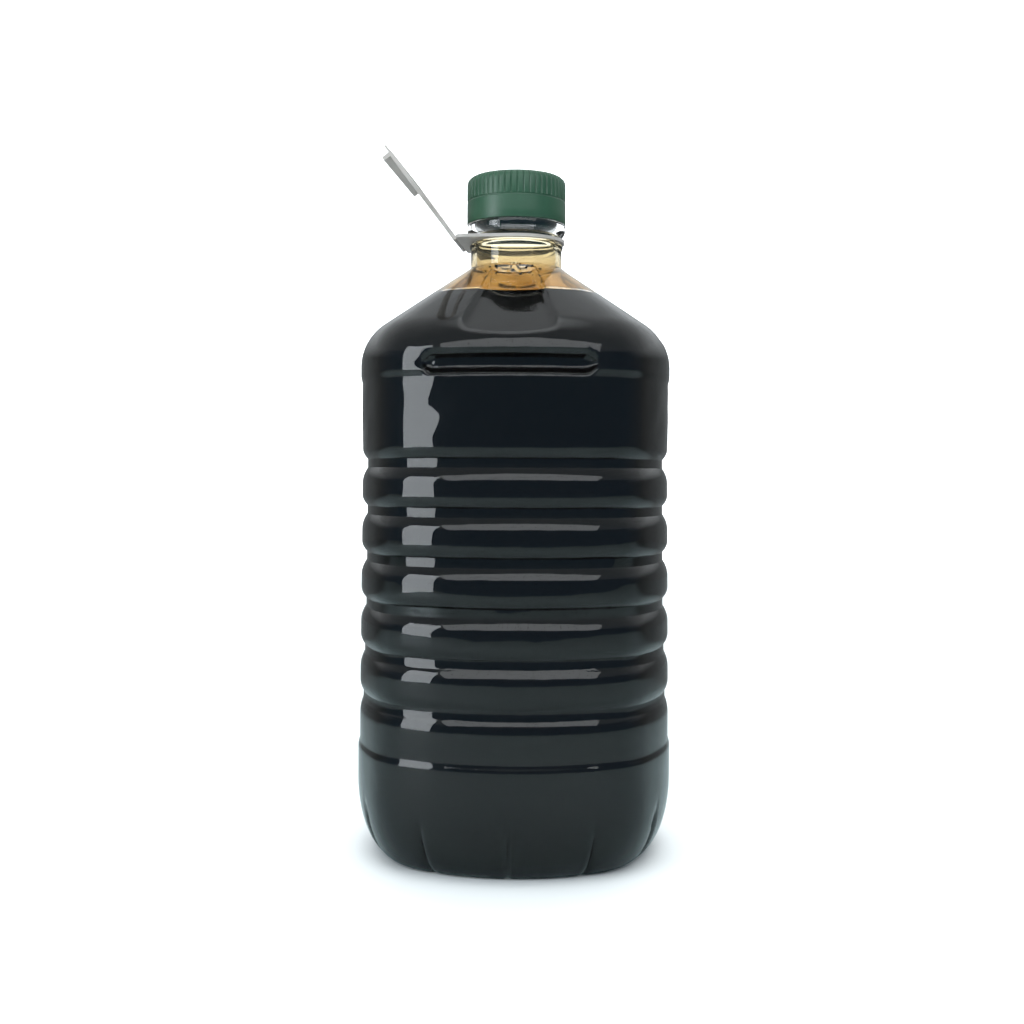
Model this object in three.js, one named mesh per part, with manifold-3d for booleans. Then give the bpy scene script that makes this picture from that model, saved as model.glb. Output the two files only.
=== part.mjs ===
// A clear five-litre jug of balsamic vinegar with a screw cap and a folding carry handle.
// Millimetres, +Z up. The origin is the middle of the foot, the front faces -Y and the handle
// leans towards -X.

import * as THREE from 'three';
import { mergeVertices } from 'three/addons/utils/BufferGeometryUtils.js';
import Module from 'manifold-3d';

// Section of the body: a rounded square, its radii as shares of its half width
const FACE_BOW = 1.343;
const CORNER_ROUND = 0.435;
const FACE_STEPS = 6;
const CORNER_STEPS = 2;

// Foot and lower body
const PUSH_UP_HALF = 50;
const PUSH_UP_HEIGHT = 9;
const PUSH_UP_STEPS = 3;
const FOOT_HALF = 62;
const FOOT_ROUND_HEIGHT = 36;
const FOOT_STEPS = 5;
const LOWER_HALF = 78.2;
const LOWER_TOP = 53.1;

// Ribbed waist, its two lowest grooves shallower than the others
const RIB_HALF_BOTTOM = 77.4;
const RIB_HALF_TOP = 76.6;
const RIB_BOTTOM = 57.1;
const GROOVE_COUNT = 6;
const GROOVE_FIRST = 76.9;
const GROOVE_PITCH = 22.78;
const GROOVE_DEPTH = 2.2;
const GROOVE_FADE = 0.45;
const FULL_GROOVES_FROM = 2;
const GROOVE_VALLEY = 4.6;
const GROOVE_WIDTH = 14.4;

// Label band and shoulder
const BAND_HALF = 76.85;
const BAND_TOP = 229.9;
const SHOULDER_HALF = 77.6;
const SHOULDER_STEP = 4.5;
const SHOULDER_START = 238.4;
const SHOULDER_ROUND = 24.7;
const SHOULDER_SLOPE = THREE.MathUtils.degToRad(34.9);
const ROUND_STEPS = 4;
const SLOPE_STEPS = 4;

// Recessed panel on each side of the shoulder
const PANEL_DEPTH = 3.2;
const PANEL_BOTTOM = { along: -24, half: 24.7 };
const PANEL_TOP = { along: 50.5, half: 8.85 };
const PANEL_RIM_HEIGHT = 3;
const PANEL_DRAFT = { bottom: 1.8, top: 0.7 };

// Long slot pressed into the front and the back, above the label band
const SLOT_LENGTH = 82;
const SLOT_HEIGHT = 12.3;
const SLOT_MIDDLE = 236.3;
const SLOT_DEPTH = 4;

// Neck, from the shoulder up
const NECK_RADIUS = 22.95;
const BEAD_RADIUS = 23.6;
const BEAD_BOTTOM = 298.8;
const BEAD_TOP = 301.5;
const WAIST_RADIUS = 22;
const WAIST_TOP = 304.3;
const COLLAR_RADIUS = 24.8;
const COLLAR_BOTTOM = 307.8;
const COLLAR_TOP = 311.3;
const COLLAR_FLARE = { share: 0.6, height: 1.4 };
const FINISH_RADIUS = 21.8;
const MOUTH_TOP = 333;
const BORE_RADIUS = 20.4;

// Wall of the bottle and the vinegar inside it
const WALL = 1.2;
const FLOOR = 3;
const GAP = 0.3;
const VINEGAR_LEVEL = 273.5;

// Screw cap
const CAP_RADIUS = 24.95;
const CAP_BOTTOM = COLLAR_TOP + GAP;
const CAP_TOP = 335.3;
const CAP_LINE = 323.1;
const CAP_LINE_DEPTH = 0.5;
const CAP_EDGE = 2.8;
const CAP_EDGE_STEPS = 2;
const CAP_MARGIN = 1;
const CAP_BORE_RADIUS = 22.4;
const CAP_BORE_TOP = MOUTH_TOP + GAP;
const CAP_STEPS = 40;
const KNURL_COUNT = 50;
const KNURL_DEPTH = 0.6;
const KNURL_GROOVE_SHARE = 0.3;

// Handle: a flat ring round the waist of the neck, and a loop for the fingers hinged to it
const PLATE = 1.6;
const PLAY = 0.4;
const RING_BOTTOM = BEAD_TOP + PLAY;
const RING_HOLE_RADIUS = WAIST_RADIUS + PLAY;
const RING_RADIUS = 24.5;
const RING_EDGE = 28;
const RING_CORNER = 4;
const RING_STEPS = 36;
const HANDLE_LEAN = THREE.MathUtils.degToRad(53.3);
const HANDLE_SWIVEL = THREE.MathUtils.degToRad(-3.2);

// Legs of the loop, from the hinge to the grip
const LEG_THICKNESS = 1.9;
const HINGE_REACH = RING_EDGE + LEG_THICKNESS / 2 + PLAY;
const LEG_WIDTH = 6;
const ROOT_HALF = 18;
const ROOT_LENGTH = 8;

// Grip: a wall turned down across the loop's end, and a thin lip beyond it
const GRIP_ALONG = 45;
const GRIP_HALF = 41;
const GRIP_WALL = 2;
const GRIP_HEIGHT = 3.7;
const LIP_REACH = 52.7;
const LIP_THICKNESS = 1.1;
const LIP_CORNER = 7;
const HOLE_CORNER = 5;

// How far a cutting shape runs past what it cuts
const CUT_MARGIN = 20;

const wasm = await Module();
wasm.setup();

// Solids and meshes

function toSolid(geometry) {
	const bare = geometry.clone();
	bare.deleteAttribute('normal');
	bare.deleteAttribute('uv');
	const merged = mergeVertices(bare, 1e-4);
	const vertProperties = new Float32Array(merged.attributes.position.array);
	const triVerts = new Uint32Array(merged.index.array);
	return new wasm.Manifold(new wasm.Mesh({ numProp: 3, vertProperties, triVerts }));
}

function toMesh(name, solid, look) {
	const surface = solid.getMesh();
	const geometry = new THREE.BufferGeometry();
	geometry.setAttribute('position', new THREE.BufferAttribute(surface.vertProperties, 3));
	geometry.setIndex(new THREE.BufferAttribute(surface.triVerts, 1));
	geometry.computeVertexNormals();
	const mesh = new THREE.Mesh(geometry, new THREE.MeshStandardMaterial(look));
	mesh.name = name;
	return mesh;
}

// Rounded-square section, by polar angle

const faceBack = FACE_BOW - 1;
const reach = FACE_BOW - CORNER_ROUND;
const cornerMiddle = (Math.sqrt(2 * reach ** 2 - faceBack ** 2) - faceBack) / 2;
const bowEnd = Math.atan2(cornerMiddle, cornerMiddle + faceBack);
const faceEnd = Math.atan2(FACE_BOW * Math.sin(bowEnd), FACE_BOW * Math.cos(bowEnd) - faceBack);

function squareRadius(angle) {
	const quarter = Math.PI / 2;
	const turn = angle / quarter;
	const fromFace = Math.abs(turn - Math.round(turn)) * quarter;
	if (fromFace < faceEnd) {
		return Math.sqrt(FACE_BOW ** 2 - (faceBack * Math.sin(fromFace)) ** 2) - faceBack * Math.cos(fromFace);
	}
	const fromCorner = quarter / 2 - fromFace;
	const away = cornerMiddle * Math.SQRT2;
	return away * Math.cos(fromCorner) + Math.sqrt(CORNER_ROUND ** 2 - (away * Math.sin(fromCorner)) ** 2);
}

function sectionAngles() {
	const angles = [];
	for (let side = 0; side < 4; side++) {
		const middle = side * Math.PI / 2;
		for (let step = 0; step < FACE_STEPS; step++) {
			angles.push(middle - faceEnd + 2 * faceEnd * step / FACE_STEPS);
		}
		for (let step = 0; step < CORNER_STEPS; step++) {
			const span = Math.PI / 2 - 2 * faceEnd;
			angles.push(middle + faceEnd + span * step / CORNER_STEPS);
		}
	}
	return angles;
}

// A level is a half width, a height and how round it is: 0 for the rounded square, 1 for a circle
function level(half, z, round = 0) {
	return { half, z, round };
}

// Closed skin through the levels, whose first and last lie on the axis
function loft(levels) {
	const angles = sectionAngles();
	const count = angles.length;
	const rings = levels.slice(1, -1);
	const positions = [0, 0, levels[0].z];
	for (const { half, z, round } of rings) {
		for (const angle of angles) {
			const radius = half * THREE.MathUtils.lerp(squareRadius(angle), 1, round);
			positions.push(radius * Math.cos(angle), radius * Math.sin(angle), z);
		}
	}
	positions.push(0, 0, levels.at(-1).z);
	const top = positions.length / 3 - 1;
	const faces = [];
	for (let side = 0; side < count; side++) {
		const next = (side + 1) % count;
		faces.push(0, 1 + next, 1 + side);
		for (let ring = 0; ring < rings.length - 1; ring++) {
			const low = 1 + ring * count;
			const high = low + count;
			faces.push(low + side, low + next, high + next);
			faces.push(low + side, high + next, high + side);
		}
		const last = 1 + (rings.length - 1) * count;
		faces.push(last + side, last + next, top);
	}
	const geometry = new THREE.BufferGeometry();
	geometry.setAttribute('position', new THREE.Float32BufferAttribute(positions, 3));
	geometry.setIndex(faces);
	return toSolid(geometry);
}

// Levels of the bottle's body from the push-up to the foot of the neck, drawn in by a skin

function footLevels(skin, floor) {
	const levels = [level(0, PUSH_UP_HEIGHT + floor)];
	for (let step = 1; step <= PUSH_UP_STEPS; step++) {
		const share = step / PUSH_UP_STEPS;
		levels.push(level(PUSH_UP_HALF * share, PUSH_UP_HEIGHT * (1 - share ** 2) + floor));
	}
	for (let step = 0; step <= FOOT_STEPS; step++) {
		const turn = Math.PI / 2 * step / FOOT_STEPS;
		const half = FOOT_HALF + (LOWER_HALF - FOOT_HALF - skin) * Math.sin(turn);
		const z = FOOT_ROUND_HEIGHT - (FOOT_ROUND_HEIGHT - floor) * Math.cos(turn);
		levels.push(level(half, z));
	}
	return levels;
}

function ribLevels(skin) {
	const levels = [level(LOWER_HALF - skin, LOWER_TOP), level(RIB_HALF_BOTTOM - skin, RIB_BOTTOM)];
	for (let groove = 0; groove < GROOVE_COUNT; groove++) {
		const middle = GROOVE_FIRST + GROOVE_PITCH * groove;
		const rib = THREE.MathUtils.lerp(RIB_HALF_BOTTOM, RIB_HALF_TOP, groove / (GROOVE_COUNT - 1)) - skin;
		const depth = GROOVE_DEPTH - GROOVE_FADE * Math.max(0, FULL_GROOVES_FROM - groove);
		levels.push(level(rib, middle - GROOVE_WIDTH / 2));
		levels.push(level(rib - depth, middle - GROOVE_VALLEY / 2));
		levels.push(level(rib - depth, middle + GROOVE_VALLEY / 2));
		levels.push(level(rib, middle + GROOVE_WIDTH / 2));
	}
	levels.push(level(BAND_HALF - skin, BAND_TOP));
	return levels;
}

const slopeTurn = Math.PI / 2 - SHOULDER_SLOPE;
const slopeStart = {
	half: SHOULDER_HALF - SHOULDER_ROUND * (1 - Math.cos(slopeTurn)),
	z: SHOULDER_START + SHOULDER_ROUND * Math.sin(slopeTurn),
};

function shoulderLevels(skin, neckHalf) {
	const levels = [];
	const middle = SHOULDER_HALF - SHOULDER_ROUND;
	const radius = SHOULDER_ROUND - skin;
	levels.push(level(SHOULDER_HALF - skin, BAND_TOP + SHOULDER_STEP));
	for (let step = 0; step <= ROUND_STEPS; step++) {
		const turn = slopeTurn * step / ROUND_STEPS;
		levels.push(level(middle + radius * Math.cos(turn), SHOULDER_START + radius * Math.sin(turn)));
	}
	const start = levels.at(-1);
	for (let step = 1; step <= SLOPE_STEPS; step++) {
		const share = step / SLOPE_STEPS;
		const half = THREE.MathUtils.lerp(start.half, neckHalf, share);
		levels.push(level(half, start.z + (start.half - half) * Math.tan(SHOULDER_SLOPE), share ** 2));
	}
	return levels;
}

function bodyLevels(skin, floor, neckHalf) {
	return [...footLevels(skin, floor), ...ribLevels(skin), ...shoulderLevels(skin, neckHalf)];
}

// What is pressed into the body: one panel a side, and the slots, each grown by the skin

function frustum(low, high) {
	const positions = [...low, ...high].flatMap((corner) => corner.toArray());
	const faces = [0, 2, 1, 0, 3, 2, 4, 5, 6, 4, 6, 7];
	for (let side = 0; side < 4; side++) {
		const next = (side + 1) % 4;
		faces.push(side, next, next + 4, side, next + 4, side + 4);
	}
	const geometry = new THREE.BufferGeometry();
	geometry.setAttribute('position', new THREE.Float32BufferAttribute(positions, 3));
	geometry.setIndex(faces);
	return geometry;
}

// Corners of the panel at a height over its floor, in the plane of the shoulder's slope
function panelCorners(height, skin) {
	const lowHalf = PANEL_BOTTOM.half + PANEL_DRAFT.bottom * height + skin;
	const highHalf = PANEL_TOP.half + PANEL_DRAFT.top * height + skin;
	const up = height - PANEL_DEPTH - skin;
	return [
		new THREE.Vector3(-lowHalf, PANEL_BOTTOM.along, up),
		new THREE.Vector3(lowHalf, PANEL_BOTTOM.along, up),
		new THREE.Vector3(highHalf, PANEL_TOP.along, up),
		new THREE.Vector3(-highHalf, PANEL_TOP.along, up),
	];
}

function panelCutter(side, skin) {
	const rim = PANEL_DEPTH + PANEL_RIM_HEIGHT + skin;
	const geometry = frustum(panelCorners(0, skin), panelCorners(rim, skin));
	geometry.rotateX(SHOULDER_SLOPE);
	geometry.translate(0, -slopeStart.half, slopeStart.z);
	geometry.rotateZ(side * Math.PI / 2);
	return toSolid(geometry);
}

function stadium(halfLength, halfHeight) {
	const shape = new THREE.Shape();
	const straight = halfLength - halfHeight;
	shape.absarc(straight, 0, halfHeight, -Math.PI / 2, Math.PI / 2, false);
	shape.absarc(-straight, 0, halfHeight, Math.PI / 2, 3 * Math.PI / 2, false);
	return shape;
}

function slotCutter(side, skin) {
	const outline = stadium(SLOT_LENGTH / 2 + skin, SLOT_HEIGHT / 2 + skin);
	const options = { depth: SHOULDER_HALF, bevelEnabled: false, curveSegments: 6 };
	const geometry = new THREE.ExtrudeGeometry(outline, options);
	geometry.rotateX(Math.PI / 2);
	geometry.translate(0, -SHOULDER_HALF / 2, SLOT_MIDDLE);
	geometry.rotateZ(side * Math.PI / 2);
	const floorHalf = SHOULDER_HALF - SLOT_DEPTH - skin;
	const low = SLOT_MIDDLE - CUT_MARGIN;
	const high = SLOT_MIDDLE + CUT_MARGIN;
	const core = loft([level(0, low), level(floorHalf, low), level(floorHalf, high), level(0, high)]);
	return toSolid(geometry).subtract(core);
}

function pressedBody(levels, skin) {
	let body = loft(levels);
	for (const side of [0, 1, 2, 3]) {
		body = body.subtract(panelCutter(side, skin));
	}
	for (const side of [0, 2]) {
		body = body.subtract(slotCutter(side, skin));
	}
	return body;
}

// Bottle and vinegar

function neckLevels() {
	const flare = THREE.MathUtils.lerp(WAIST_RADIUS, COLLAR_RADIUS, COLLAR_FLARE.share);
	return [
		level(NECK_RADIUS, BEAD_BOTTOM, 1),
		level(BEAD_RADIUS, (BEAD_BOTTOM + BEAD_TOP) / 2, 1),
		level(BEAD_RADIUS, BEAD_TOP, 1),
		level(WAIST_RADIUS, BEAD_TOP, 1),
		level(WAIST_RADIUS, WAIST_TOP, 1),
		level(flare, WAIST_TOP + COLLAR_FLARE.height, 1),
		level(COLLAR_RADIUS, COLLAR_BOTTOM, 1),
		level(COLLAR_RADIUS, COLLAR_TOP, 1),
		level(FINISH_RADIUS, COLLAR_TOP, 1),
		level(FINISH_RADIUS, MOUTH_TOP, 1),
		level(0, MOUTH_TOP, 1),
	];
}

function cavity(skin) {
	const borer = BORE_RADIUS + WALL - skin;
	const levels = bodyLevels(skin, FLOOR + skin - WALL, borer);
	const over = MOUTH_TOP + CUT_MARGIN;
	return pressedBody([...levels, level(borer, over, 1), level(0, over, 1)], skin);
}

function bottle() {
	const outside = pressedBody([...bodyLevels(0, 0, NECK_RADIUS), ...neckLevels()], 0);
	return outside.subtract(cavity(WALL));
}

function vinegar() {
	const width = 2 * LOWER_HALF + CUT_MARGIN;
	const above = new THREE.BoxGeometry(width, width, MOUTH_TOP);
	above.translate(0, 0, VINEGAR_LEVEL + MOUTH_TOP / 2);
	return cavity(WALL + GAP).subtract(toSolid(above));
}

// Cap: a smooth band below, a fine groove, and a knurled top with a rounded edge

function turned(points, steps) {
	const profile = points.map(([radius, z]) => new THREE.Vector2(radius, z));
	const geometry = new THREE.LatheGeometry(profile, steps);
	geometry.rotateX(Math.PI / 2);
	return toSolid(geometry);
}

function knurledOutline() {
	const shape = new THREE.Shape();
	const pitch = 2 * Math.PI / KNURL_COUNT;
	const root = CAP_RADIUS - KNURL_DEPTH;
	for (let knurl = 0; knurl < KNURL_COUNT; knurl++) {
		const start = pitch * (knurl + KNURL_GROOVE_SHARE / 2);
		const end = pitch * (knurl + 1 - KNURL_GROOVE_SHARE / 2);
		const groove = pitch * (knurl + 1);
		const corners = [[CAP_RADIUS, start], [CAP_RADIUS, end], [root, groove]];
		for (const [radius, angle] of corners) {
			const x = radius * Math.cos(angle);
			const y = radius * Math.sin(angle);
			if (knurl === 0 && angle === start) {
				shape.moveTo(x, y);
			} else {
				shape.lineTo(x, y);
			}
		}
	}
	return shape;
}

function cap() {
	const options = { depth: CAP_TOP - CAP_LINE, bevelEnabled: false };
	const knurls = new THREE.ExtrudeGeometry(knurledOutline(), options);
	knurls.translate(0, 0, CAP_LINE);
	const edge = [];
	for (let step = 0; step <= CAP_EDGE_STEPS; step++) {
		const turn = step / CAP_EDGE_STEPS * Math.PI / 2;
		const radius = CAP_RADIUS - CAP_EDGE * (1 - Math.cos(turn));
		edge.push([radius, CAP_TOP - CAP_EDGE * (1 - Math.sin(turn))]);
	}
	const rounded = turned([
		[0, CAP_LINE],
		[CAP_RADIUS + CAP_MARGIN, CAP_LINE],
		[CAP_RADIUS + CAP_MARGIN, CAP_TOP - CAP_EDGE - CAP_MARGIN],
		...edge,
		[0, CAP_TOP],
	], CAP_STEPS);
	const band = turned([
		[0, CAP_BOTTOM],
		[CAP_RADIUS, CAP_BOTTOM],
		[CAP_RADIUS, CAP_LINE - CAP_LINE_DEPTH],
		[CAP_RADIUS - CAP_LINE_DEPTH, CAP_LINE],
		[CAP_RADIUS - 2 * CAP_LINE_DEPTH, CAP_LINE + CAP_MARGIN],
		[0, CAP_LINE + CAP_MARGIN],
	], CAP_STEPS);
	const bore = turned([
		[0, CAP_BOTTOM - CUT_MARGIN],
		[CAP_BORE_RADIUS, CAP_BOTTOM - CUT_MARGIN],
		[CAP_BORE_RADIUS, CAP_BORE_TOP],
		[0, CAP_BORE_TOP],
	], CAP_STEPS);
	return toSolid(knurls).intersect(rounded).add(band).subtract(bore);
}

// Handle

function ringPlate() {
	const outline = new THREE.Shape();
	outline.absarc(0, 0, RING_RADIUS, -Math.PI / 2, Math.PI / 2, false);
	const cornerX = RING_CORNER - RING_EDGE;
	const cornerY = RING_RADIUS - RING_CORNER;
	outline.absarc(cornerX, cornerY, RING_CORNER, Math.PI / 2, Math.PI, false);
	outline.absarc(cornerX, -cornerY, RING_CORNER, Math.PI, 3 * Math.PI / 2, false);
	const hole = new THREE.Path();
	hole.absarc(0, 0, RING_HOLE_RADIUS, 0, 2 * Math.PI, true);
	outline.holes.push(hole);
	const options = { depth: PLATE, bevelEnabled: false, curveSegments: RING_STEPS / 2 };
	const geometry = new THREE.ExtrudeGeometry(outline, options);
	geometry.translate(0, 0, RING_BOTTOM);
	return toSolid(geometry);
}

// The loop lies along +X from the hinge, its upper side facing -Z, and is leaned afterwards.
// Its outline is mirrored across the X axis: root, flared legs, square end with round corners.
function flaredOutline(start, rootHalf, end, endHalf, corner) {
	const shape = new THREE.Shape();
	const flareEnd = end - 2 * corner;
	const pull = (start + flareEnd) / 2;
	shape.moveTo(start, -rootHalf);
	shape.bezierCurveTo(pull, -rootHalf, pull, -endHalf, flareEnd, -endHalf);
	shape.absarc(end - corner, corner - endHalf, corner, -Math.PI / 2, 0, false);
	shape.absarc(end - corner, endHalf - corner, corner, 0, Math.PI / 2, false);
	shape.lineTo(flareEnd, endHalf);
	shape.bezierCurveTo(pull, endHalf, pull, rootHalf, start, rootHalf);
	shape.closePath();
	return shape;
}

function slab(shape, low, high) {
	const options = { depth: high - low, bevelEnabled: false, curveSegments: 10 };
	const geometry = new THREE.ExtrudeGeometry(shape, options);
	geometry.translate(0, 0, low);
	return toSolid(geometry);
}

function block(lowX, highX, halfY, low, high) {
	const geometry = new THREE.BoxGeometry(highX - lowX, 2 * halfY, high - low);
	geometry.translate((lowX + highX) / 2, 0, (low + high) / 2);
	return toSolid(geometry);
}

function fingerLoop() {
	const half = LEG_THICKNESS / 2;
	const gripEnd = GRIP_ALONG + GRIP_WALL;
	const outline = flaredOutline(0, ROOT_HALF, LIP_REACH, GRIP_HALF, LIP_CORNER);
	const opening = flaredOutline(
		ROOT_LENGTH, ROOT_HALF - LEG_WIDTH, GRIP_ALONG, GRIP_HALF - LEG_WIDTH, HOLE_CORNER);
	const root = new THREE.CylinderGeometry(half, half, 2 * ROOT_HALF, 12);
	const beyond = block(gripEnd, LIP_REACH + CUT_MARGIN, 2 * GRIP_HALF, -CUT_MARGIN, CUT_MARGIN);
	const legs = slab(outline, -half, half).subtract(beyond);
	const lip = slab(outline, -LIP_THICKNESS / 2, LIP_THICKNESS / 2);
	const wall = block(GRIP_ALONG, gripEnd, GRIP_HALF, -half, half + GRIP_HEIGHT);
	const plate = legs.add(lip).add(toSolid(root)).subtract(slab(opening, -CUT_MARGIN, CUT_MARGIN));
	return plate.add(wall);
}

// Scene

const clear = { color: 0xdfe4e2, roughness: 0.08, metalness: 0, transparent: true, opacity: 0.35 };
const dark = { color: 0x120c09, roughness: 0.15, metalness: 0 };
const green = { color: 0x1f4a33, roughness: 0.45, metalness: 0 };
const milky = { color: 0xc9cdca, roughness: 0.35, metalness: 0, transparent: true, opacity: 0.6 };

const jug = new THREE.Group();
jug.add(toMesh('bottle', bottle(), clear));
jug.add(toMesh('vinegar', vinegar(), dark));
jug.add(toMesh('cap', cap(), green));

const handle = new THREE.Group();
handle.rotation.z = HANDLE_SWIVEL;
handle.add(toMesh('handle_ring', ringPlate(), milky));
jug.add(handle);

const grip = toMesh('handle_grip', fingerLoop(), milky);
grip.position.set(-HINGE_REACH, 0, RING_BOTTOM + PLATE / 2);
grip.rotation.y = HANDLE_LEAN - Math.PI;
handle.add(grip);

export default jug;
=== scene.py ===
"""A five-litre clear jug of balsamic vinegar: ribbed square bottle, green screw cap, folding carry handle."""

import math

import bpy
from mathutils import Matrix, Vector


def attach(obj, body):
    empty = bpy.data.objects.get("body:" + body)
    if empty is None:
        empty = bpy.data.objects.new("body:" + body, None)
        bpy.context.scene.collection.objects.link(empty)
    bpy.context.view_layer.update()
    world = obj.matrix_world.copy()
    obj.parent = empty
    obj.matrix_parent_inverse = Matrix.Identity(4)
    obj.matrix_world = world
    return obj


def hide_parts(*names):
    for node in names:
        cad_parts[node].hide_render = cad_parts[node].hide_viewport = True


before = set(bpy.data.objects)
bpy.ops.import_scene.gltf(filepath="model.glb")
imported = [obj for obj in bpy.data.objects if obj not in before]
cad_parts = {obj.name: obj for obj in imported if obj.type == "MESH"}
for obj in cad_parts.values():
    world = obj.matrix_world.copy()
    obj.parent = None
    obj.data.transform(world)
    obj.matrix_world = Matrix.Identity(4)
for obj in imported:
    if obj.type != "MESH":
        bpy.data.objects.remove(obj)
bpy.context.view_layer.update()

# Bottle
# A clear plastic bottle, blown in one piece in a square mould with rounded corners: a pushed-up base,
# six grooves round the waist, a label band, a pressed slot and four pressed panels on the shoulder.
# Its body wall is under a millimetre thick; the neck is moulded first and stays thick.


def deselect():
    """Nothing stays selected, the CAD nodes among it."""
    bpy.ops.object.select_all(action="DESELECT")


def finish_piece(obj, name, material, angle):
    """Names the piece, gives it its material and smooth shading, and puts its place in its mesh."""
    deselect()
    obj.select_set(True)
    bpy.context.view_layer.objects.active = obj
    bpy.ops.object.transform_apply(location=True, rotation=True, scale=True)
    bpy.ops.object.shade_smooth_by_angle(angle=math.radians(angle))
    obj.name = name
    obj.data.name = name
    obj.data.materials.clear()
    obj.data.materials.append(material)
    obj.select_set(False)


def ease(low, high, value):
    """Rises smoothly from 0 at low to 1 at high."""
    share = min(max((value - low) / (high - low), 0.0), 1.0)
    return share * share * (3 - 2 * share)


def soft_max(a, b, blend):
    """The larger of two lengths, rounded off over the blend where they meet."""
    closeness = max(blend - abs(a - b), 0.0) / blend
    return max(a, b) + closeness**2 * blend / 4


# The section is a square with bowed sides and round corners, its radii as shares of its half width
quarter = math.pi / 2
face_bow, corner_round = 1.343, 0.435
face_back = face_bow - 1
corner_reach = face_bow - corner_round
corner_middle = (math.sqrt(2 * corner_reach**2 - face_back**2) - face_back) / 2
bow_end = math.atan2(corner_middle, corner_middle + face_back)
face_end = math.atan2(face_bow * math.sin(bow_end), face_bow * math.cos(bow_end) - face_back)


def square_radius(turn):
    """Radius of the section at a polar angle, for a half width of one."""
    off = abs(turn / quarter - round(turn / quarter)) * quarter
    if off < face_end:
        return math.sqrt(face_bow**2 - (face_back * math.sin(off)) ** 2) - face_back * math.cos(off)
    corner = quarter / 2 - off
    away = corner_middle * math.sqrt(2)
    return away * math.cos(corner) + math.sqrt(corner_round**2 - (away * math.sin(corner)) ** 2)


# Lengths are in millimetres until a mesh is made: half widths to a face, heights from the table
waist_low, waist_high = 77.4, 76.6
groove_count, groove_first, groove_spacing, groove_depth = 6, 76.9, 22.78, 2.5
groove_offsets = (-9.7, -8.4, -7.2, -6, -5, -4, -3.1, -2.3, 1.9, 2.4, 3.2, 4, 4.9, 5.9, 7.1, 8.7)


def groove_half(z):
    """Half width of the waist at a height: a slight taper with the grooves cut into it."""
    taper = min(max((z - groove_first) / (groove_spacing * (groove_count - 1)), 0), 1)
    half = waist_low + (waist_high - waist_low) * taper
    for groove in range(groove_count):
        middle = groove_first + groove_spacing * groove
        shallower = 0.45 * max(0, 2 - groove)
        flat, flank = (1.9, 5.2) if z > middle else (2.3, 7.4)
        share = min(max((abs(z - middle) - flat) / flank, 0.0), 1.0)
        half -= (groove_depth - shallower) * (1 - share) ** 2
    return half


base_half, base_push = 50, 9
foot_half, foot_flat, foot_height = 78.2, 62, 36
foot_step = ((52, 78.12), (52.6, 77.96), (53.2, 77.78), (53.8, 77.6), (54.4, 77.45), (55, 77.4), (57.5, 77.4))
band_low, band_half, band_swell = 202, 76.7, 0.15
bend_low, bend_z, bend_middle, bend_radius = 229, 238.4, 52.9, 24.7
shoulder_slope = math.radians(34.9)
slope_turn = quarter - shoulder_slope
slope_half = bend_middle + bend_radius * math.cos(slope_turn)
slope_z = bend_z + bend_radius * math.sin(slope_turn)


def body_line(skin, floor, neck):
    """Levels of the body from the middle of the base to the neck, as half width, height and roundness."""
    line = []
    for step in range(1, 9):
        share = step / 8
        pushed = base_push * (1 - share**2) + 0.6 * ease(0.8, 1, share)
        line.append((base_half * share, pushed + floor, 0))
    line.append((51.5, 0.15 + floor, 0))
    line += [(half, floor, 0) for half in (53, 56, 59, foot_flat)]
    for step in range(1, 16):
        turn = quarter * step / 15
        half = foot_flat + (foot_half - foot_flat - skin) * math.sin(turn)
        line.append((half, foot_height - (foot_height - floor) * math.cos(turn), 0))
    line += [(foot_half - skin, z, 0) for z in (40, 45, 49.5, 51.3)]
    line += [(half - skin, z, 0) for z, half in foot_step]
    for groove in range(groove_count):
        middle = groove_first + groove_spacing * groove
        line += [(groove_half(middle + off) - skin, middle + off, 0) for off in groove_offsets]
    for step in range(11):
        line.append((band_half + band_swell * ease(0, 4, step) - skin, band_low + 2.6 * step, 0))
    for step in range(14):
        z = bend_low + step * (bend_z - bend_low) / 14
        line.append((band_half + band_swell + 0.75 * ease(229.6, 234, z) - skin, z, 0))
    for step in range(17):
        turn = slope_turn * step / 16
        reach = bend_radius - skin
        line.append((bend_middle + reach * math.cos(turn), bend_z + reach * math.sin(turn), 0))
    start_half, start_z = line[-1][0], line[-1][1]
    for step in range(1, 24):
        share = step / 23
        half = start_half + (neck - start_half) * share
        line.append((half, start_z + (start_half - half) * math.tan(shoulder_slope), share**2))
    return line


panel_start, panel_end, panel_reach, panel_depth = -24, 50.0, 74.5, 3.2
panel_low_half, panel_high_half = 24.7, 8.85
panel_low_draft, panel_high_draft = 1.8, 0.7


def press_panel(across, depth, z, skin):
    """The depth and height of a shoulder point once the panel, narrowing towards the neck, is pressed in."""
    along = (slope_half - depth) * math.cos(shoulder_slope) + (z - slope_z) * math.sin(shoulder_slope)
    over = (depth - slope_half) * math.sin(shoulder_slope) + (z - slope_z) * math.cos(shoulder_slope)
    share = min(max((along - panel_start) / panel_reach, 0), 1)
    width = panel_low_half + (panel_high_half - panel_low_half) * share + skin
    draft = panel_low_draft + (panel_high_draft - panel_low_draft) * share
    floor = -panel_depth - skin
    sides = floor + max((abs(across) - width) / draft, (along - panel_end) / 0.5)
    lowered = -soft_max(-over, -soft_max(floor, sides, 0.9), 0.5)
    move = min(lowered - over, 0)
    return depth + move * math.sin(shoulder_slope), z + move * math.cos(shoulder_slope)


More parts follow.
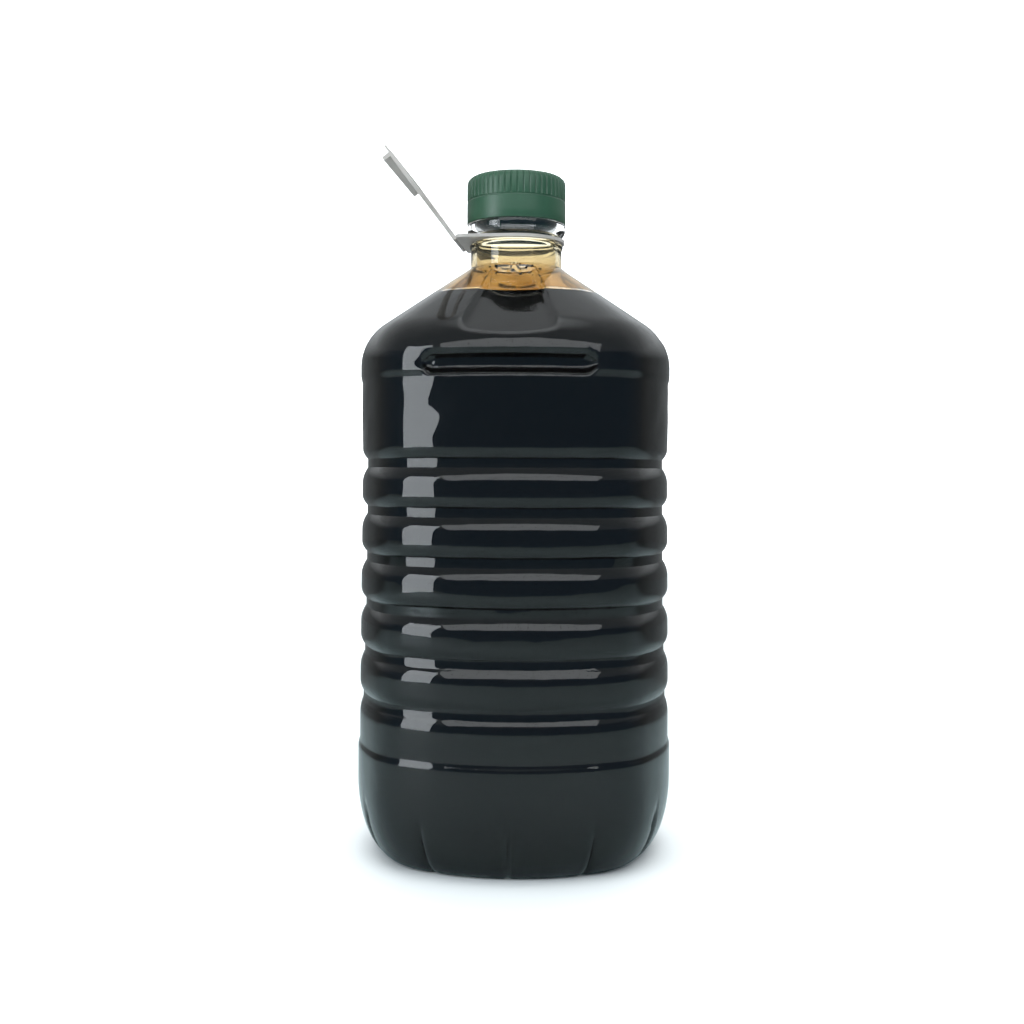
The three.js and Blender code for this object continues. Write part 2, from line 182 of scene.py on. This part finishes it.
def band_waves(across, z, side):
    """How far the blown label band waves inward at a point."""
    sway = math.sin(across / 6.0 + 1.6 * math.sin(z / 5.2 + side)) + 0.6 * math.sin(across / 3.7 - z / 4.1)
    upright = ease(198, 206, z) * (1 - ease(223, 230, z))
    return 0.11 * sway * upright * (1 - ease(38, 56, abs(across)))


slot_z, slot_half, slot_radius, slot_depth = 236.3, 41, 6.15, 4.2


def slot_dent(across, z, skin):
    """How deep the slot with round ends is pressed at a point."""
    past_straight = max(abs(across) - (slot_half - slot_radius), 0)
    inside = slot_radius + skin - math.hypot(past_straight, z - slot_z)
    return slot_depth * ease(-0.3, 4.4, inside)


crease_turns = (-math.radians(30), 0.0, math.radians(30))
crease_depth, crease_half = 1.6, 2.4


def base_creases(across, depth, z):
    """How deep the three short creases near the base of a face are at a point."""
    turn = math.atan2(across, depth)
    reach = math.hypot(across, depth)
    near = sum(1 - ease(0.0, crease_half, abs(turn - crease) * reach) for crease in crease_turns)
    return crease_depth * near * (1 - ease(18, 33, z)) * ease(44, 58, reach)


def pressed(side_turn, point, skin):
    """A point of the body after everything that the mould presses into its faces, in millimetres."""
    x, y, z = point
    side = round(side_turn / quarter) * quarter
    out = Vector((math.cos(side), math.sin(side)))
    along_face = Vector((-out.y, out.x))
    across = x * along_face.x + y * along_face.y
    depth = x * out.x + y * out.y
    if z > 240:
        depth, z = press_panel(across, depth, z, skin)
    if 198 < z < 230:
        depth -= band_waves(across, z, side)
    if abs(out.y) > 0.5 and 226 < z < 248:
        depth -= slot_dent(across, z, skin)
    if z < 34:
        depth -= base_creases(across, depth, z)
    return (
        depth * out.x + across * along_face.x,
        depth * out.y + across * along_face.y,
        z,
    )


# Columns stand closer where the panels' and the slots' edges run
half_side = [0, 0.9, 1.8, 4, 7, 10.5] + [14 + step for step in range(18)] + [34, 37, 40, 43]
side_turns = sorted({-turn for turn in half_side} | set(half_side))
column_turns = [math.radians(turn + 90 * side) - quarter for side in range(4) for turn in side_turns]


def lofted(name, levels, skins, ends=True):
    """A closed skin through the levels: a flat grid, rolled into a tube, shaped ring by ring, closed."""
    count, rings = len(column_turns), len(levels)
    deselect()
    bpy.ops.mesh.primitive_grid_add(x_subdivisions=count, y_subdivisions=rings - 1, size=1)
    tube = bpy.context.object
    tube.name = name
    for vertex in tube.data.vertices:
        column = round((vertex.co.x + 0.5) * count) % count
        ring = round((vertex.co.y + 0.5) * (rings - 1))
        half, z, roundness = levels[ring]
        turn = column_turns[column]
        radius = half * (square_radius(turn) * (1 - roundness) + roundness)
        flat = (radius * math.cos(turn), radius * math.sin(turn), z)
        vertex.co = Vector(pressed(turn, flat, skins[ring])) / 1000
    bpy.ops.object.mode_set(mode="EDIT")
    bpy.ops.mesh.select_all(action="SELECT")
    bpy.ops.mesh.remove_doubles(threshold=0.000002)
    if ends:
        bpy.ops.mesh.select_all(action="DESELECT")
        bpy.ops.mesh.select_mode(type="EDGE")
        bpy.ops.mesh.select_non_manifold()
        bpy.ops.mesh.fill_holes(sides=0)
        bpy.ops.mesh.poke()
    bpy.ops.mesh.select_all(action="SELECT")
    bpy.ops.mesh.normals_make_consistent(inside=False)
    bpy.ops.object.mode_set(mode="OBJECT")
    return tube


# The neck: a bead, the waist that holds the handle's ring, the collar, and the mouth under the cap
neck_line = (
    (22.95, 291.5), (22.95, 295.5), (22.98, 298.3), (23.25, 299.0), (23.6, 299.7), (23.65, 300.3),
    (23.6, 300.8), (23.4, 301.05), (22.4, 301.1), (22.0, 301.25), (22.0, 302.5), (22.0, 304.0),
    (22.25, 304.8), (23.0, 305.4), (23.7, 305.9), (24.3, 306.7), (24.65, 307.5), (24.8, 308.3),
    (24.8, 309.5), (24.8, 310.8), (24.65, 311.2), (24.2, 311.35), (22.2, 311.4), (21.8, 311.6),
    (21.8, 318), (21.8, 326), (21.8, 332.3), (21.5, 332.9), (21.1, 333.0), (20.7, 332.8),
    (20.4, 332.2), (20.4, 325), (20.4, 316), (20.4, 308), (20.4, 300), (20.6, 294),
)
neck = [(radius, z, 1) for radius, z in neck_line]
wall = 0.9
outside = body_line(0, 0, 22.95)
inside = body_line(wall, wall, 21.0)[::-1]
bottle_skins = [0.0] * (len(outside) + len(neck)) + [wall] * len(inside)


def wavy_group():
    """A node group: a slow unevenness of the surface, as blown or moulded plastic has, as a normal."""
    group = bpy.data.node_groups.new("wavy_surface", "ShaderNodeTree")
    for name, standard in (("Scale", 40.0), ("Strength", 0.3), ("Distance", 0.001)):
        socket = group.interface.new_socket(name, in_out="INPUT", socket_type="NodeSocketFloat")
        socket.default_value = standard
    group.interface.new_socket("Normal", in_out="OUTPUT", socket_type="NodeSocketVector")
    nodes, links = group.nodes, group.links
    given, result = nodes.new("NodeGroupInput"), nodes.new("NodeGroupOutput")
    place, wave, bump = (nodes.new("ShaderNode" + kind) for kind in ("TexCoord", "TexNoise", "Bump"))
    wave.inputs["Detail"].default_value = 2.0
    links.new(place.outputs["Object"], wave.inputs["Vector"])
    links.new(given.outputs["Scale"], wave.inputs["Scale"])
    links.new(wave.outputs["Fac"], bump.inputs["Height"])
    links.new(given.outputs["Strength"], bump.inputs["Strength"])
    links.new(given.outputs["Distance"], bump.inputs["Distance"])
    links.new(bump.outputs["Normal"], result.inputs["Normal"])
    return group


wavy_surface = wavy_group()


def wavy_bump(nodes, scale, strength, distance):
    """The wavy surface with its own values, as a Normal output."""
    node = nodes.new("ShaderNodeGroup")
    node.node_tree = wavy_surface
    node.inputs["Scale"].default_value = scale
    node.inputs["Strength"].default_value = strength
    node.inputs["Distance"].default_value = distance
    return node.outputs["Normal"]


def new_material(name):
    """A material with its one Principled shader, as material, nodes, links and shader."""
    material = bpy.data.materials.new(name)
    material.use_nodes = True
    nodes, links = material.node_tree.nodes, material.node_tree.links
    return material, nodes, links, nodes["Principled BSDF"]


clear, nodes, links, shader = new_material("clear_blown_plastic")
shader.inputs["Base Color"].default_value = (0.975, 0.985, 0.98, 1)
shader.inputs["Roughness"].default_value = 0.02
shader.inputs["IOR"].default_value = 1.42
shader.inputs["Transmission Weight"].default_value = 1.0
links.new(wavy_bump(nodes, 38, 0.35, 0.0009), shader.inputs["Normal"])

bottle = lofted("bottle_shell", outside + neck + inside, bottle_skins)
finish_piece(bottle, "bottle_shell", clear, 30)
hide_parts("bottle")
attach(bottle, "jug")

# Vinegar
# Balsamic vinegar, near black and opaque in this depth. It fills the bottle up to the shoulder
# and lies against the wall everywhere, so its skin sits inside the plastic.

level_z, into_wall = 273.5, 0.35
fill = [level for level in body_line(into_wall, into_wall, 22.6) if level[1] < level_z - 0.4]
last_half, last_z = fill[-1][:2]
edge_half = last_half - (level_z - last_z) / math.tan(shoulder_slope)
slope_foot, slope_run = 67.03, 44.1
edge_roundness = ((slope_foot - edge_half) / slope_run) ** 2
fill.append((edge_half + 0.02, level_z - 0.05, edge_roundness))
fill += [(edge_half - drop, level_z - 0.02, 0.02) for drop in (1.0, 4, 12, 22, 34)]
fill.append((5, level_z, 0.02))


def stepped_ramp(nodes, links, value, steps):
    """A colour ramp over a value, with two or four steps of place and colour, as a Color output."""
    ramp = nodes.new("ShaderNodeValToRGB")
    for between in (0.5, 0.7)[: len(steps) - 2]:
        ramp.color_ramp.elements.new(between)
    for element, (position, colour) in zip(ramp.color_ramp.elements, steps):
        element.position, element.color = position, colour
    links.new(value, ramp.inputs["Fac"])
    return ramp.outputs["Color"]


def soft_clouds(nodes, links, scale, detail=2.0):
    """Soft clouds all through the piece, as a value between 0 and 1."""
    place, cloud = nodes.new("ShaderNodeTexCoord"), nodes.new("ShaderNodeTexNoise")
    cloud.inputs["Scale"].default_value = scale
    cloud.inputs["Detail"].default_value = detail
    links.new(place.outputs["Object"], cloud.inputs["Vector"])
    return cloud.outputs["Fac"]


dark, nodes, links, shader = new_material("balsamic_vinegar")
dark_steps = ((0, (0.003, 0.0028, 0.0028, 1)), (1, (0.006, 0.005, 0.0045, 1)))
clouds = soft_clouds(nodes, links, 9)
links.new(stepped_ramp(nodes, links, clouds, dark_steps), shader.inputs["Base Color"])
shader.inputs["Roughness"].default_value = 0.25
shader.inputs["IOR"].default_value = 1.08

vinegar = lofted("vinegar_fill", fill, [into_wall] * len(fill))
finish_piece(vinegar, "vinegar_fill", dark, 60)
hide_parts("vinegar")
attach(vinegar, "jug")

# Vinegar film
# A thin amber film that the vinegar leaves on the inside of the shoulder and the neck after it was
# shaken. It clings to the wall from the level up, and is paler and thinner in the neck.

film_out, film_in = wall - 0.06, wall + 0.2
film_outer = [level for level in body_line(film_out, film_out, 21.06) if level[1] > level_z - 0.3]
film_inner = [level for level in body_line(film_in, film_in, 20.8) if level[1] > level_z - 0.3]
film_outer += [(20.66, 294, 1), (20.46, 300, 1), (20.46, 307, 1)]
film_inner += [(20.4, 294, 1), (20.2, 300, 1), (20.2, 307, 1)]
film_levels = film_outer + film_inner[::-1] + film_outer[:1]
film_skins = [film_out] * len(film_outer) + [film_in] * len(film_inner) + [film_out]


def colour_mix(nodes, links, share, first, second):
    """A mix of two colours by a share; a colour is either a value or an output."""
    mix = nodes.new("ShaderNodeMix")
    mix.data_type = "RGBA"
    links.new(share, mix.inputs["Factor"])
    for socket, given in ((mix.inputs[6], first), (mix.inputs[7], second)):
        if isinstance(given, tuple):
            socket.default_value = given
        else:
            links.new(given, socket)
    return mix.outputs[2]


amber, nodes, links, shader = new_material("amber_film")
amber_steps = ((0.35, (0.46, 0.3, 0.13, 1)), (0.65, (0.62, 0.45, 0.23, 1)))
streaky = stepped_ramp(nodes, links, soft_clouds(nodes, links, 60), amber_steps)
place, axes, rise = (nodes.new("ShaderNode" + kind) for kind in ("TexCoord", "SeparateXYZ", "MapRange"))
rise.inputs["From Min"].default_value = 0.284
rise.inputs["From Max"].default_value = 0.298
links.new(place.outputs["Object"], axes.inputs["Vector"])
links.new(axes.outputs["Z"], rise.inputs["Value"])
paler = colour_mix(nodes, links, rise.outputs["Result"], streaky, (0.68, 0.61, 0.45, 1))
links.new(paler, shader.inputs["Base Color"])
shader.inputs["Roughness"].default_value = 0.12
shader.inputs["IOR"].default_value = 1.05
shader.inputs["Transmission Weight"].default_value = 1.0

film = lofted("vinegar_film", film_levels, film_skins, ends=False)
finish_piece(film, "vinegar_film", amber, 60)
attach(film, "jug")

# Drops
# Small drops of vinegar that hang in the film under the neck, on the front of the shoulder. Each is
# a little ball of the dark vinegar, half sunk in the film, and all of them are one piece.

drop_places = (
    (-13.8, 283.6), (-8.7, 284.7), (-8.4, 286.0), (-4.2, 284.3), (-0.9, 286.4), (-0.6, 284.7), (2.8, 287.4),
    (5.2, 287.0), (2.8, 282.4), (9.3, 282.7), (-11.5, 286.3), (12.5, 285.0), (7.2, 284.4),
)
film_front = [vertex.co.copy() for vertex in film.data.vertices if vertex.co.y < 0]
balls = []
for number, (across, height) in enumerate(drop_places):
    spot = min(film_front, key=lambda co: (co.x - across / 1000) ** 2 + (co.z - height / 1000) ** 2)
    size = 0.0005 + 0.00012 * (number % 3)
    bpy.ops.mesh.primitive_ico_sphere_add(subdivisions=2, radius=size, location=spot)
    balls.append(bpy.context.object)
deselect()
for ball in balls:
    ball.select_set(True)
bpy.context.view_layer.objects.active = balls[0]
bpy.ops.object.join()
drops = bpy.context.object
finish_piece(drops, "vinegar_drops", dark, 60)
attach(drops, "jug")

# Cap
# A moulded green screw cap: a plain skirt below, a fine groove, and fifty flat ribs with narrow grooves
# up to a rounded edge and a flat top.

rib_count, rib_low = 50, 323.6
rib_height, rib_groove = 0.15, 0.55
under_top = 333.5
cap_line = (
    (12, under_top), (22.2, under_top), (22.4, 333.2), (22.4, 325), (22.4, 312.1), (22.6, 311.7),
    (22.9, 311.6), (24.4, 311.6), (24.8, 311.75), (24.95, 312.1), (24.95, 316), (24.95, 320),
    (24.93, 322.5), (24.6, 322.75), (24.5, 323.1), (24.55, 323.35), (24.8, 323.55), (24.8, 324.2),
    (24.8, 328), (24.8, 331.3), (24.62, 332.6), (24.1, 333.7), (23.3, 334.55), (22.3, 335.1),
    (21.1, 335.3), (12, 335.3), (2, 335.3),
)
deselect()
bpy.ops.mesh.primitive_circle_add(vertices=rib_count * 6, radius=0.002, location=(0, 0, under_top / 1000))
cap = bpy.context.object
bpy.ops.object.mode_set(mode="EDIT")
bpy.ops.mesh.select_all(action="SELECT")
last_radius, last_z = 2, under_top
for radius, z in cap_line:
    climb = (0, 0, (z - last_z) / 1000)
    bpy.ops.mesh.extrude_region_move(TRANSFORM_OT_translate={"value": climb})
    share = radius / last_radius
    bpy.ops.transform.resize(value=(share, share, 1), center_override=(0, 0, z / 1000))
    last_radius, last_z = radius, z
bpy.ops.mesh.select_non_manifold()
bpy.ops.mesh.fill_holes(sides=0)
bpy.ops.mesh.poke()
bpy.ops.mesh.select_all(action="SELECT")
bpy.ops.mesh.normals_make_consistent(inside=False)
bpy.ops.object.mode_set(mode="OBJECT")
for vertex in cap.data.vertices:
    x, y, z = vertex.co.x, vertex.co.y, vertex.co.z + under_top / 1000
    radius = math.hypot(x, y)
    if z > rib_low / 1000 and radius > 0.0235:
        turn = math.atan2(y, x) / (2 * math.pi) * rib_count
        off = abs(turn - round(turn))
        proud = (rib_height - rib_groove * (1 - ease(0.06, 0.2, off))) / 1000
        grown = (radius + proud * ease(rib_low / 1000, (rib_low + 0.6) / 1000, z)) / radius
        vertex.co.x, vertex.co.y = x * grown, y * grown

green, nodes, links, shader = new_material("green_moulded_plastic")
green_steps = ((0, (0.014, 0.056, 0.027, 1)), (1, (0.02, 0.074, 0.038, 1)))
clouds = soft_clouds(nodes, links, 120, detail=4)
rough = nodes.new("ShaderNodeMapRange")
rough.inputs["To Min"].default_value = 0.33
rough.inputs["To Max"].default_value = 0.45
links.new(clouds, rough.inputs["Value"])
links.new(stepped_ramp(nodes, links, clouds, green_steps), shader.inputs["Base Color"])
links.new(rough.outputs["Result"], shader.inputs["Roughness"])
links.new(wavy_bump(nodes, 500, 0.15, 0.0001), shader.inputs["Normal"])

finish_piece(cap, "screw_cap", green, 30)
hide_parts("cap")
cap.visible_glossy = False
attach(cap, "jug")

# Handle
# A carry handle moulded in one piece from milky plastic: a flat ring clipped round the waist of the
# neck, and a flared loop with a turned-down grip wall and a thin lip, which folds at the ring. Both
# keep the shape that they have in the CAD.

milky, nodes, links, shader = new_material("milky_moulded_plastic")
milky_steps = ((0, (0.46, 0.43, 0.4, 1)), (1, (0.6, 0.57, 0.53, 1)))
clouds = soft_clouds(nodes, links, 150)
links.new(stepped_ramp(nodes, links, clouds, milky_steps), shader.inputs["Base Color"])
shader.inputs["Roughness"].default_value = 0.3
shader.inputs["Transmission Weight"].default_value = 0.35
shader.inputs["IOR"].default_value = 1.45
links.new(wavy_bump(nodes, 300, 0.2, 0.0001), shader.inputs["Normal"])

for node in ("handle_ring", "handle_grip"):
    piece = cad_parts[node]
    piece.data.materials.clear()
    piece.data.materials.append(milky)

# Studio
# A pale floor, a white backdrop, the room that the plastic mirrors, three soft boxes and the camera.
# What the dark jug mirrors gives it its colours, so the room is tinted for that, and the floor shows the jug
# a painted reflection: tinted grey, dark behind the jug, unlike the pale floor that the camera sees.

pale, nodes, links, shader = new_material("pale_floor")
shader.inputs["Roughness"].default_value = 0.6
spot, axes, reach, ray = (
    nodes.new("ShaderNode" + kind) for kind in ("NewGeometry", "SeparateXYZ", "MapRange", "LightPath")
)
reach.inputs["From Min"].default_value = -1.35
reach.inputs["From Max"].default_value = 0.45
links.new(spot.outputs["Position"], axes.inputs["Vector"])
links.new(axes.outputs["Y"], reach.inputs["Value"])
# Painted reflection: mirrored rays see the floor tinted grey, and dark behind the jug, so the jug shows these
# colours; the camera sees the floor pale
painted_reflection_steps = (
    (0.0, (0.31, 0.39, 0.4, 1)),
    (0.6, (0.42, 0.52, 0.53, 1)),
    (0.75, (0.42, 0.52, 0.53, 1)),
    (1.0, (0.09, 0.1, 0.1, 1)),
)
painted_reflection = stepped_ramp(nodes, links, reach.outputs["Result"], painted_reflection_steps)
seen = colour_mix(nodes, links, ray.outputs["Is Glossy Ray"], (0.85, 0.88, 0.88, 1), painted_reflection)
links.new(seen, shader.inputs["Base Color"])
bpy.ops.mesh.primitive_plane_add(size=1, location=(0, 0.2, 0))
floor = bpy.context.object
floor.scale = (8, 3.1, 1)
floor.name = "floor"
floor.data.materials.append(pale)

bpy.ops.mesh.primitive_plane_add(size=4, location=(0, 1.75, 1.6), rotation=(quarter, 0, 0))
backdrop = bpy.context.object
backdrop.name = "backdrop"
backdrop.visible_glossy = False
white, nodes, links, shader = new_material("white_backdrop")
shader.inputs["Base Color"].default_value = (0.9, 0.9, 0.9, 1)
shader.inputs["Emission Color"].default_value = (1, 1, 1, 1)
shader.inputs["Emission Strength"].default_value = 0.95
backdrop.data.materials.append(white)

# The room is darker low in front of the jug than behind it, and white to the camera itself
world = bpy.data.worlds.new("room")
bpy.context.scene.world = world
world.use_nodes = True
nodes, links = world.node_tree.nodes, world.node_tree.links
way, axes, turn, ray = (
    nodes.new("ShaderNode" + kind) for kind in ("TexCoord", "SeparateXYZ", "MapRange", "LightPath")
)
ceiling = (0.98, (1.8, 1.9, 1.95, 1))
front_steps = (
    (0.3, (0.13, 0.22, 0.32, 1)),
    (0.36, (0.42, 0.5, 0.56, 1)),
    (0.9, (0.42, 0.48, 0.52, 1)),
    ceiling,
)
back_steps = (
    (0.14, (0.2, 0.215, 0.22, 1)),
    (0.3, (0.72, 0.76, 0.78, 1)),
    (0.92, (0.72, 0.76, 0.78, 1)),
    ceiling,
)
turn.inputs["From Min"].default_value = -0.3
turn.inputs["From Max"].default_value = 0.4
links.new(way.outputs["Generated"], axes.inputs["Vector"])
links.new(axes.outputs["Y"], turn.inputs["Value"])
front_room = stepped_ramp(nodes, links, axes.outputs["Z"], front_steps)
back_room = stepped_ramp(nodes, links, axes.outputs["Z"], back_steps)
room = colour_mix(nodes, links, turn.outputs["Result"], front_room, back_room)
room = colour_mix(nodes, links, ray.outputs["Is Camera Ray"], room, (1, 1, 1, 1))
links.new(room, nodes["Background"].inputs["Color"])
nodes["Background"].inputs["Strength"].default_value = 1.0


def soft_box(name, place, aim, width, height, power, colour=(1, 1, 1)):
    """A rectangular lamp at a place, turned towards a point."""
    bpy.ops.object.light_add(type="AREA", location=place)
    lamp = bpy.context.object
    lamp.name = name
    lamp.data.shape = "RECTANGLE"
    lamp.data.size, lamp.data.size_y = width, height
    lamp.data.energy = power
    lamp.data.color = colour
    lamp.rotation_mode = "QUATERNION"
    lamp.rotation_quaternion = (Vector(aim) - Vector(place)).to_track_quat("-Z", "Y")
    return lamp


overhead = soft_box("overhead", (0.1, 0.1, 1.9), (0, 0, 0.15), 2.6, 2.2, 34)
overhead.visible_glossy = False
soft_box("window", (-1.15, -0.85, 0.45), (0, 0, 0.2), 0.5, 0.9, 9.5, (0.9, 0.96, 1))
soft_box("high_window", (0.2, -2.2, 1.6), (0, 0, 0.2), 4.6, 1.25, 46, (0.95, 0.98, 1))

camera_distance, eye_height, azimuth = 0.649, 0.1875, math.radians(2.5)
bpy.ops.object.camera_add()
camera = bpy.context.object
camera.data.lens = 44.9
camera.data.sensor_width = 36
camera.data.shift_x = -0.0032
camera.data.shift_y = -0.041
camera.location = (camera_distance * math.sin(azimuth), -camera_distance * math.cos(azimuth), eye_height)
camera.rotation_euler = (quarter, math.radians(-0.25), azimuth)
camera.data.clip_end = 20
bpy.context.scene.camera = camera
bpy.context.scene.view_settings.view_transform = "Standard"
